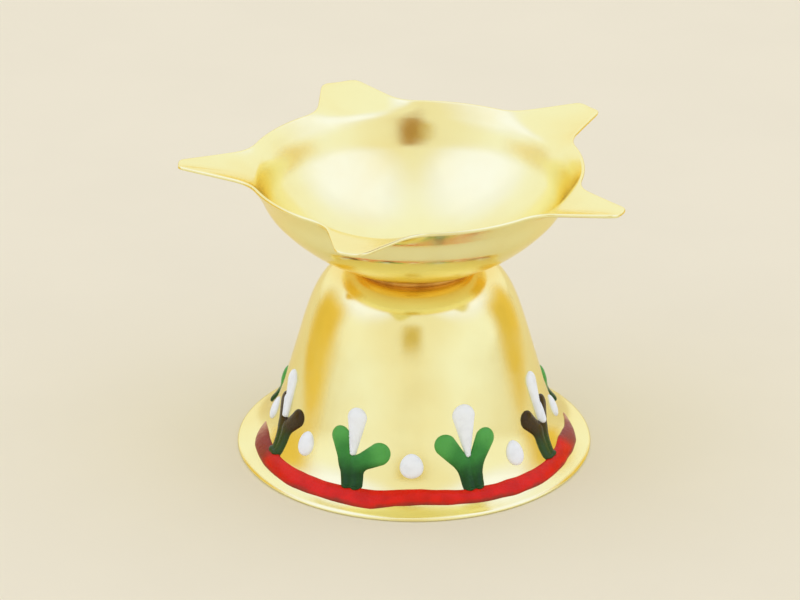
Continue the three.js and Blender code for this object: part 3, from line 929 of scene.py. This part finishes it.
def band_red(colours):
    """Red with random streaks, painted shade along its lower edge, and painted shade and
    reflection in maroon near a stroke's end, where the enamel also thins to a wash with the brass
    showing through.
    """

    def colour(shader):
        streak = shader.noise(2.4 * MM, 3.0)
        streak = shader.ramp(streak, 0.35, 0.7)
        body = shader.blend(streak, colours.red, darker(colours.red, 0.82))
        thin = shader.painted("thin")
        # Painted shade: the band's lower edge is darkened toward the tail colour.
        low_edge = shader.math("MULTIPLY_ADD", shader.noise(3 * MM, 2.0), 0.9, -0.45)
        low_edge = shader.math("ADD", low_edge, shader.painted("edge"))
        body = shader.blend(shader.ramp(low_edge, 0.55, 1.15), body, colours.tail)
        ragged = shader.math("MULTIPLY_ADD", shader.noise(1.5 * MM, 3.0), 0.5, -0.25)
        thin = shader.math("ADD", thin, shader.math("MULTIPLY", thin, ragged))
        # Painted shade and reflection: maroon toward a stroke's end. The wash at the very end is
        # thin enamel over the brass.
        maroon = shader.blend(shader.ramp(thin, 0.1, 0.35), body, colours.tail)
        return shader.blend(shader.ramp(thin, 0.6, 1.0), maroon, colours.wash)

    return enamel("band_red", colour)


def leaf_green(colours):
    """Green, bright where the leaves are thin and nearly black at the foot of the stem."""

    def colour(shader):
        up = shader.ramp(shader.height_up(), 4.4 * MM, 8.2 * MM)
        streak = shader.math("MULTIPLY_ADD", shader.noise(1.8 * MM, 3.0), 0.7, -0.35)
        thin = shader.ramp(shader.painted("tip"), 0.45, 0.9)
        leaf = shader.blend(thin, colours.green, colours.leaf_end)
        # Painted shade: two of the sprigs take the dark colours in place of green.
        side_shade = shader.painted("side_shade")
        stem = shader.blend(side_shade, colours.stem, colours.side_shade_stem)
        leaf = shader.blend(side_shade, leaf, colours.side_shade)
        return shader.blend(shader.math("ADD", up, streak), stem, leaf)

    return enamel("leaf_green", colour)


def petal_white(colours):
    """White, with a faint cloud."""

    def colour(shader):
        cloud = shader.ramp(shader.noise(1.6 * MM, 3.0), 0.4, 0.75)
        return shader.blend(cloud, colours.white, darker(colours.white, 0.93))

    return enamel("petal_white", colour)


def shared(name, build, *arguments):
    """The material of that name, made the first time it is asked for."""
    return bpy.data.materials.get(name) or build(*arguments)


# Operators


class DIYA_OT_bowl(Operator):
    """Press the five-beaked bowl from one sheet"""

    bl_idname = "diya.bowl"
    bl_label = "Bowl"

    def execute(self, context):
        sheet = context.scene.diya_sheet
        brass = shared("polished_brass", polished_brass, context.scene.diya_brass)
        vertices, faces = bowl_mesh(sheet.bowl, sheet.unevenness, sheet.columns)
        piece("pressed_bowl", vertices, faces, [brass], ["bowl"])
        return {"FINISHED"}


class DIYA_OT_stand(Operator):
    """Spin the bell-shaped stand from one sheet, and fill its joint with a dark amber ring of
    painted shade
    """

    bl_idname = "diya.stand"
    bl_label = "Stand"

    segments = 288

    def execute(self, context):
        sheet = context.scene.diya_sheet
        brass = shared("polished_brass", polished_brass, context.scene.diya_brass)
        raw = shared("raw_brass", raw_brass)
        profile, outside = stand_profile(sheet.stand)
        vertices, faces = turned(profile, self.segments)
        wave = uneven(vertices, 11 * MM, 8) * sheet.unevenness
        from_axis = vertices[:, :2] - AXIS
        radius = np.linalg.norm(from_axis, axis=1)
        fade = np.clip((FOOT_RADIUS - radius) / (3 * MM), 0, 1)
        vertices[:, :2] += from_axis / radius[:, None] * (wave * fade)[:, None]
        inner = [0 if ring < outside else 1 for ring in range(len(profile))]
        face_materials = np.repeat(inner, self.segments)
        piece("bell_stand", vertices, faces, [brass, raw], ["stand"], face_materials)
        self.joint_ring(sheet.bowl)
        return {"FINISHED"}

    def joint_ring(self, bowl_sheet):
        """A dark amber ring in the narrow gap all round the seat of the bowl, as painted shade of
        the gap.
        """
        wall_centre = bowl_sheet + math.sqrt(WALL_ARC_RADIUS**2 - FLOOR_RADIUS**2)
        under = wall_centre - math.sqrt((WALL_ARC_RADIUS + bowl_sheet) ** 2 - JOINT_RADIUS**2)
        crown = np.interp(-JOINT_RADIUS, -bell[:, 0], bell[:, 1])
        low = np.array((JOINT_RADIUS, crown))
        high = np.array((JOINT_RADIUS, BOWL_BOTTOM + under))
        hollow = 0.8 * (high[1] - low[1])
        face = bezier((low, low - (hollow, 0), high - (hollow, 0), high), 12)
        back = (CROWN_RADIUS, (STAND_TOP + BOWL_BOTTOM) / 2)
        vertices, faces = turned(np.vstack([face, [back]]), self.segments)
        amber = shared("gap_shade_finish", gap_shade_finish)
        piece("gap_shade_ring", vertices, faces, [amber], [])


class DIYA_OT_fixing(Operator):
    """Turn the stud, the washer and the nut that hold the bowl on the stand"""

    bl_idname = "diya.fixing"
    bl_label = "Stud, Washer and Nut"

    segments = 96

    def execute(self, context):
        brass = shared("turned_brass", turned_brass)
        self.stud(brass)
        self.washer(brass)
        self.nut(brass)
        return {"FINISHED"}

    def stud(self, brass):
        low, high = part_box("stud")
        bottom, top = low[2], high[2]
        cove = high[0] - AXIS[0] - STUD_RADIUS
        heights = np.arange(bottom, top - cove, 0.05 * MM)
        angle = full_turn(self.segments)
        phase = heights[:, None] / THREAD_PITCH - angle / TAU
        groove = np.abs(phase % 1 * 2 - 1)
        radius = STUD_RADIUS - THREAD_DEPTH * np.clip(groove * 1.25 - 0.12, 0, 1)
        chamfer = STUD_RADIUS - STUD_CHAMFER + (heights[:, None] - bottom) * 0.9
        radius = np.minimum(radius, chamfer)
        fade = np.clip((top - cove - heights[:, None]) / THREAD_RUN_OUT, 0, 1)
        radius = STUD_RADIUS + (radius - STUD_RADIUS) * fade
        braze = bezier(
            ((STUD_RADIUS, top - cove), (STUD_RADIUS, top), (STUD_RADIUS + cove, top)), 10
        )
        radius = np.vstack([radius, np.repeat(braze[:, :1], self.segments, 1)])
        heights = np.concatenate([heights, braze[:, 1]])
        rings = about_axis(radius, angle, heights[:, None])
        vertices, faces = capped(rings, (*AXIS, bottom), (*AXIS, top))
        faces = [face[::-1] for face in faces]
        piece("threaded_stud", vertices, faces, [brass], ["stud"])

    def washer(self, brass):
        low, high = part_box("washer")
        bottom, top = low[2], high[2]
        outer = high[0] - AXIS[0]
        bore = STUD_RADIUS + WASHER_PLAY
        soft = WASHER_SOFTNESS
        profile = np.vstack(
            [
                bezier(((outer - soft, bottom), (outer, bottom), (outer, bottom + soft)), 4),
                bezier(((outer, top - soft), (outer, top), (outer - soft, top)), 4),
                bezier(((bore + soft, top), (bore, top), (bore, top - soft)), 4),
                bezier(((bore, bottom + soft), (bore, bottom), (bore + soft, bottom)), 4),
            ]
        )
        vertices, faces = turned(profile, self.segments)
        piece("plain_washer", vertices, faces, [brass], ["washer"])

    def nut(self, brass):
        low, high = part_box("nut")
        bottom, top = low[2], high[2]
        half = NUT_ACROSS_FLATS / 2
        angle = full_turn(self.segments)
        turn = (angle + math.pi / 6) % (math.pi / 3) - math.pi / 6
        flats = half / np.cos(turn)
        face_radius = NUT_FACE * half
        drop = (flats - face_radius) * math.tan(NUT_CHAMFER)
        sections = [
            (NUT_BORE, bottom + LEAD_IN),
            (NUT_BORE + LEAD_IN, bottom),
            (face_radius, bottom),
            (flats, bottom + drop),
            (flats, top - drop),
            (face_radius, top),
            (NUT_BORE + LEAD_IN, top),
            (NUT_BORE, top - LEAD_IN),
        ]
        rings = np.array([about_axis(radius, angle, height) for radius, height in sections])
        faces = loft_faces(len(rings), self.segments, closed=True)
        faces = [face[::-1] for face in faces]
        made = piece(
            "hexagon_nut", rings.reshape(-1, 3), faces, [brass], ["nut"]
        )
        made.data.polygons.foreach_set("use_smooth", [False] * len(made.data.polygons))


class DIYA_OT_band(Operator):
    """Brush the red band round the brim"""

    bl_idname = "diya.band"
    bl_label = "Red Band"

    def execute(self, context):
        enamels = context.scene.diya_enamel
        red = shared("band_red", band_red, enamels)
        self.stroke("band_front", FRONT_STROKE, "red_band", enamels.thickness, red)
        self.stroke("band_back", BACK_STROKE, "red_band_back", enamels.thickness, red)
        return {"FINISHED"}

    def stroke(self, name, rows, node, thickness, red):
        first, last = math.radians(rows[0][0]), math.radians(rows[-1][0])
        steps = round((last - first) / BAND_STEP)
        angle = np.linspace(first, last, steps + 1)
        middle, half = band_at(rows, angle)
        kernel = np.hanning(BAND_SMOOTHING)
        kernel /= kernel.sum()
        middle, half = (
            np.convolve(np.pad(line, BAND_SMOOTHING // 2, "edge"), kernel, "valid")
            for line in (middle, half)
        )
        ripple = np.array([noise.noise(Vector((*polar(9.0, turn), 4.0))) for turn in angle])
        half = half * (1 + BAND_RIPPLE * ripple)
        thickness = thickness * np.clip(half / BAND_SHOULDER, 0, 1)
        share = np.sin(np.linspace(-math.pi / 2, math.pi / 2, 15))
        section = [(across, math.sqrt(max(0.0, 1 - across**2))) for across in share]
        lines = [
            on_bell(angle, 0, (middle + half * across) * MM, thickness * lift)
            for across, lift in section
        ]
        lines += [
            on_bell(angle, 0, (middle + half * side) * MM, -ENAMEL_SINK) for side in (1, -1)
        ]
        rings = np.swapaxes(np.array(lines), 0, 1)
        size = rings.shape[1]
        faces = loft_faces(len(rings), size, closed=False)
        faces.append(tuple(range(size)))
        faces.append(tuple(reversed(range(len(rings) * size - size, len(rings) * size))))
        made = piece(name, rings.reshape(-1, 3), faces, [red], [node])
        from_end = np.minimum(angle - first, last - angle) / TAIL
        # The ends and the lower edge of the band carry its painted shade.
        paint(made, "thin", np.repeat(np.clip(1 - from_end, 0, 1), size))
        paint(made, "edge", np.tile(np.append(np.clip(-share, 0, 1), (0, 1)), len(rings)))


class DIYA_OT_sprigs(Operator):
    """Brush the eight green sprigs"""

    bl_idname = "diya.sprigs"
    bl_label = "Sprigs"

    def execute(self, context):
        enamels = context.scene.diya_enamel
        green = shared("leaf_green", leaf_green, enamels)
        thickness = enamels.thickness / MM
        for index, (degrees, *_) in enumerate(SPRIGS):
            angle = math.radians(degrees)

            def depth(x, y):
                return sprig_depth(index, x, y)

            def lift(x, y):
                radius = np.interp(y * MM, bell_run, bell[:, 0]) / MM
                under = band_height(angle + x / radius, y, thickness)
                return crown_of(depth(x, y), SPRIG_SHOULDER, thickness) + under

            vertices, faces, plan = stroke_mesh(
                angle, depth, lift, (-6.5, 6.5, 3.8, 15.2), enamels.grain / MM
            )
            made = piece(f"green_sprig_{index + 1}", vertices, faces, [green],
                         [f"sprig_{index + 1}"])
            from_fork = plan - SPRIGS[index][3]
            tip = np.where(from_fork[:, 1] > -0.5, np.linalg.norm(from_fork, axis=1) / 6, 0)
            paint(made, "tip", tip)
            # Marks the two sprigs that carry painted shade.
            paint(made, "side_shade", index + 1 in SIDE_SHADE_SPRIGS)
        return {"FINISHED"}


class DIYA_OT_petals(Operator):
    """Brush a white petal over each sprig"""

    bl_idname = "diya.petals"
    bl_label = "Petals"

    def execute(self, context):
        enamels = context.scene.diya_enamel
        white = shared("petal_white", petal_white, enamels)
        thickness = enamels.thickness / MM
        for index, (degrees, *_) in enumerate(SPRIGS):

            def depth(x, y):
                return petal_depth(index, x, y)

            def lift(x, y):
                under = crown_of(sprig_depth(index, x, y), SPRIG_SHOULDER, thickness)
                reach = np.interp(y, (10.4, 16.4), (0.6, 1.8))
                return crown_of(depth(x, y), reach, thickness) * reach**0.3 + under

            vertices, faces, _ = stroke_mesh(
                math.radians(degrees), depth, lift, (-7, 5, 9.2, 19.6), enamels.grain / MM
            )
            piece(f"white_petal_{index + 1}", vertices, faces, [white],
                  [f"petal_{index + 1}"])
        return {"FINISHED"}


class DIYA_OT_drops(Operator):
    """Set a white drop between each two sprigs"""

    bl_idname = "diya.drops"
    bl_label = "Drops"

    def execute(self, context):
        enamels = context.scene.diya_enamel
        white = shared("petal_white", petal_white, enamels)
        thickness = 1.15 * enamels.thickness / MM
        for index, (degrees, slant, width, height) in enumerate(DROPS):

            def depth(x, y):
                up = (y - slant) / (height / 2)
                half = width / 2 * (1 - 0.12 * up)
                return (1 - np.hypot(x / half, up)) * width / 2

            def lift(x, y):
                return crown_of(depth(x, y), width / 2, thickness)

            vertices, faces, _ = stroke_mesh(
                math.radians(degrees), depth, lift, (-3, 3, 5.5, 12.5), enamels.grain / MM
            )
            piece(f"white_drop_{index + 1}", vertices, faces, [white],
                  [f"drop_{index + 1}"])
        return {"FINISHED"}


def aimed(made, position, target):
    """Puts a light or camera at a position, looking at a target."""
    made.location = position
    made.rotation_euler = (Vector(target) - Vector(position)).to_track_quat("-Z", "Y").to_euler()


def direction(azimuth, elevation):
    """Unit vector, azimuth in degrees from the front towards +X, elevation upwards."""
    turn, rise = math.radians(azimuth), math.radians(elevation)
    return Vector(
        (math.sin(turn) * math.cos(rise), -math.cos(turn) * math.cos(rise), math.sin(rise))
    )


class DIYA_OT_stage(Operator):
    """Lay the paper floor, and set the lights and the camera"""

    bl_idname = "diya.stage"
    bl_label = "Floor, Light and Camera"

    def execute(self, context):
        stage = context.scene.diya_stage
        self.floor(stage)
        self.lights(stage)
        for name, values in CARDS.items():
            self.card(name, *values)
        self.surround(context.scene, stage)
        self.camera(context.scene)
        context.scene.view_settings.view_transform = "Standard"
        return {"FINISHED"}

    def sheet(self, name, corners, material):
        mesh = bpy.data.meshes.new(name)
        mesh.from_pydata(corners, [], [(0, 1, 2, 3)])
        mesh.materials.append(material)
        made = bpy.data.objects.new(name, mesh)
        bpy.context.scene.collection.objects.link(made)
        return made

    def floor(self, stage):
        signs = ((-1, -1), (1, -1), (1, 1), (-1, 1))
        corners = [(x * FLOOR_HALF, y * FLOOR_HALF, -FLOOR_DROP) for x, y in signs]
        paper = Shader("paper", Roughness=0.9, Specular_IOR_Level=0.1)
        fibre = paper.ramp(paper.noise(30 * MM, 3.0), 0.3, 0.7)
        paper.feed("Base Color", paper.blend(fibre, stage.paper, darker(stage.paper, 0.985)))
        self.sheet("floor", corners, paper.material)

    def lights(self, stage):
        target = Vector((*AXIS, LIGHT_AIM))
        for name, toward in zip(("softbox_left", "softbox_right"), SIDE_LIGHTS):
            data = bpy.data.lights.new(name, "AREA")
            data.shape = "RECTANGLE"
            data.size = data.size_y = SIDE_LIGHT_SIZE
            data.energy = stage.softbox * math.pi * SIDE_LIGHT_SIZE**2
            made = bpy.data.objects.new(name, data)
            bpy.context.scene.collection.objects.link(made)
            aimed(made, target + direction(*toward) * SIDE_LIGHT_DISTANCE, target)

    def card(self, name, azimuth, distance, width, low, high, colour):
        """An upright card with soft edges, which only shows in reflections."""
        middle = Vector((*AXIS, 0)) + direction(azimuth, 0) * distance
        side = direction(azimuth + 90, 0) * width / 2
        corners = [
            (middle + side * sign + Vector((0, 0, level)))[:]
            for sign, level in ((-1, low), (1, low), (1, high), (-1, high))
        ]
        board = Shader(name, Roughness=0.8)
        mottle = board.ramp(board.noise(60 * MM), 0.3, 0.7)
        board.feed("Base Color", board.blend(mottle, colour, darker(colour, 0.9)))
        fades = [
            board.ramp(board.math("ABSOLUTE", board.painted(side)), 1.0, 0.3)
            for side in ("across", "upward")
        ]
        board.feed("Alpha", board.math("MULTIPLY", *fades))
        made = self.sheet(name, corners, board.material)
        paint(made, "across", (-1, 1, 1, -1))
        paint(made, "upward", (-1, -1, 1, 1))
        made.visible_camera = False
        made.visible_shadow = False
        made.visible_diffuse = False

    def patch(self, tree, place, toward, outer, inner):
        """1 within the inner angle of a direction of the surround, 0 past the outer one."""
        closeness = tree.nodes.new("ShaderNodeVectorMath")
        closeness.operation = "DOT_PRODUCT"
        tree.links.new(place, closeness.inputs[0])
        closeness.inputs[1].default_value = toward
        made = tree.nodes.new("ShaderNodeMapRange")
        made.interpolation_type = "SMOOTHSTEP"
        made.inputs["From Min"].default_value = math.cos(math.radians(outer))
        made.inputs["From Max"].default_value = math.cos(math.radians(inner))
        tree.links.new(closeness.outputs["Value"], made.inputs["Value"])
        return made.outputs["Result"]

    def surround(self, scene, stage):
        """A pale surround, darker ahead of the lamp, cool and bright high up on either side."""
        world = bpy.data.worlds.new("surround")
        scene.world = world
        world.use_nodes = True
        tree = world.node_tree
        place = tree.nodes.new("ShaderNodeTexCoord").outputs["Generated"]
        background = tree.nodes["Background"]
        colour = None
        for toward, outer, inner, tint in (
            (direction(-8, 42), 60, 15, stage.shade),
            *((direction(*toward), 40, 0, stage.glow) for toward in SIDE_LIGHTS),
        ):
            mix = tree.nodes.new("ShaderNodeMix")
            mix.data_type = "RGBA"
            tree.links.new(self.patch(tree, place, toward, outer, inner), mix.inputs["Factor"])
            mix.inputs["A"].default_value = (1, 1, 1, 1)
            mix.inputs["B"].default_value = tint
            if colour:
                tree.links.new(colour, mix.inputs["A"])
            colour = mix.outputs["Result"]
        tree.links.new(colour, background.inputs["Color"])
        background.inputs["Strength"].default_value = stage.sky

    def camera(self, scene):
        data = bpy.data.cameras.new("camera")
        data.lens = LENS
        data.sensor_width = SENSOR
        data.clip_start = 0.01
        camera = bpy.data.objects.new("camera", data)
        scene.collection.objects.link(camera)
        aside = direction(CAMERA_AZIMUTH + 90, 0) * CAMERA_ASIDE
        target = Vector((*AXIS, CAMERA_HEIGHT)) + aside
        back = direction(CAMERA_AZIMUTH, CAMERA_ELEVATION)
        aimed(camera, target + back * CAMERA_DISTANCE, target)
        scene.camera = camera


class DIYA_PT_panel(Panel):
    """Sizes, colours and build steps of the diya"""

    bl_idname = "DIYA_PT_panel"
    bl_label = "Enamelled Diya"
    bl_space_type = "VIEW_3D"
    bl_region_type = "UI"
    bl_category = "Diya"

    def draw(self, context):
        layout = self.layout
        for name in GROUPS:
            group = getattr(context.scene, name)
            box = layout.box()
            for key in group.__annotations__:
                box.prop(group, key)
        for operator in OPERATORS:
            layout.operator(operator.bl_idname)


OPERATORS = (
    DIYA_OT_stage,
    DIYA_OT_bowl,
    DIYA_OT_stand,
    DIYA_OT_fixing,
    DIYA_OT_band,
    DIYA_OT_sprigs,
    DIYA_OT_petals,
    DIYA_OT_drops,
)
GROUPS = {
    "diya_brass": DiyaBrass,
    "diya_sheet": DiyaSheet,
    "diya_enamel": DiyaEnamel,
    "diya_stage": DiyaStage,
}


def register():
    for group in GROUPS.values():
        bpy.utils.register_class(group)
    for operator in OPERATORS:
        bpy.utils.register_class(operator)
    bpy.utils.register_class(DIYA_PT_panel)
    for name, group in GROUPS.items():
        setattr(bpy.types.Scene, name, PointerProperty(type=group))


def unregister():
    for name in GROUPS:
        delattr(bpy.types.Scene, name)
    bpy.utils.unregister_class(DIYA_PT_panel)
    for operator in reversed(OPERATORS):
        bpy.utils.unregister_class(operator)
    for group in reversed(GROUPS.values()):
        bpy.utils.unregister_class(group)


def main():
    register()
    bpy.ops.diya.stage()
    bpy.ops.diya.bowl()
    bpy.ops.diya.stand()
    bpy.ops.diya.fixing()
    bpy.ops.diya.band()
    bpy.ops.diya.sprigs()
    bpy.ops.diya.petals()
    bpy.ops.diya.drops()


if __name__ == "__main__":
    main()
